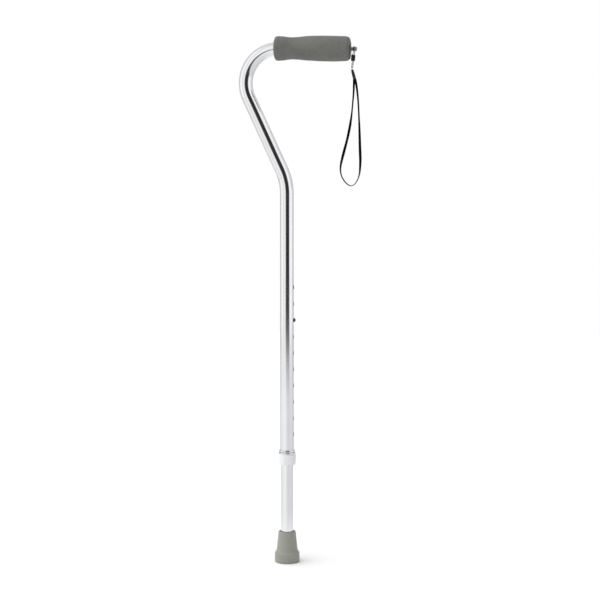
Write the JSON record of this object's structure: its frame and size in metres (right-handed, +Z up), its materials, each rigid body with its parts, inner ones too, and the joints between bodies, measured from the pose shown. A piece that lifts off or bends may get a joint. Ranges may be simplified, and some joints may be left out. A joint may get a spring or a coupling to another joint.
{
  "type": "single point cane",
  "caption": "Walking cane with an offset foam handle, a telescoping aluminium shaft with snap button and lock ring, a rubber tip and a wrist strap.",
  "frame": {"origin": "centre of the rubber tip's sole, on the shaft's axis, where the cane meets the floor", "axes": "+Z up the shaft, +X the way the handle's free end points, Y across the cane; the tube's bends all lie in the plane Y = 0"},
  "size_m": [0.1897, 0.0386, 0.8133],
  "materials": {
    "polished_aluminium": "polished",
    "spring_steel": "satin",
    "grey_foam": "matte",
    "grey_plastic": "satin",
    "silver_plastic": "satin",
    "white_nylon": "satin",
    "tip_rubber": "matte",
    "black_plastic": "satin",
    "black_cord": "matte",
    "black_webbing": "matte"
  },
  "bodies": {
    "leg": {"lower_tube": "polished_aluminium", "rubber_tip": "tip_rubber", "tip_washer": "spring_steel", "glide_bush": "white_nylon", "snap_spring": "spring_steel"},
    "button": {"snap_button": "spring_steel"},
    "upper": {"upper_tube": "polished_aluminium", "foam_grip": "grey_foam", "grip_end_plug": "grey_plastic", "lock_sleeve": "silver_plastic"},
    "collet": {"collet_ring": "white_nylon"},
    "ring": {"lock_ring": "silver_plastic"},
    "strap": {"strap_cord": "black_cord"},
    "bead": {"strap_bead": "black_plastic"},
    "loop": {"strap_crimp": "black_plastic", "strap_webbing": "black_webbing"}
  },
  "joints": [
    {"name": "height_slide", "type": "slide", "parent": "leg", "child": "upper", "axis": [0, 0, 1], "range_m": [-0.0508, 0.1778], "deforming": ["snap_button"]},
    {"name": "button_press", "type": "slide", "parent": "leg", "child": "button", "axis": [-1, 0, 0], "range_m": [0, 0.004], "stiffness_N_per_m": 1500, "springref_m": -0.001, "deforming": ["snap_spring"]},
    {"name": "collet_travel", "type": "slide", "parent": "upper", "child": "collet", "axis": [0, 0, -1], "range_m": [0, 0.0015]},
    {"name": "lock_ring_turn", "type": "hinge", "parent": "collet", "child": "ring", "pos_m": [0, 0, 0.164], "axis": [0, 0, -1], "range_deg": [0, 271]},
    {"name": "strap_swing", "type": "hinge", "parent": "upper", "child": "strap", "pos_m": [0.1037, 0, 0.793], "axis": [1, 0, 0], "range_deg": [-80, 80]},
    {"name": "bead_slide", "type": "slide", "parent": "strap", "child": "bead", "axis": [-0.1009, 0, -0.9949], "range_m": [0, 0.0095]},
    {"name": "loop_swing", "type": "hinge", "parent": "strap", "child": "loop", "pos_m": [0.1007, 0, 0.7632], "axis": [0, 1, 0], "range_deg": [-45, 20]}
  ],
  "couplings": [
    {"joint": "lock_ring_turn", "follows": "collet_travel", "rad_per_m": 3141.6}
  ]
}
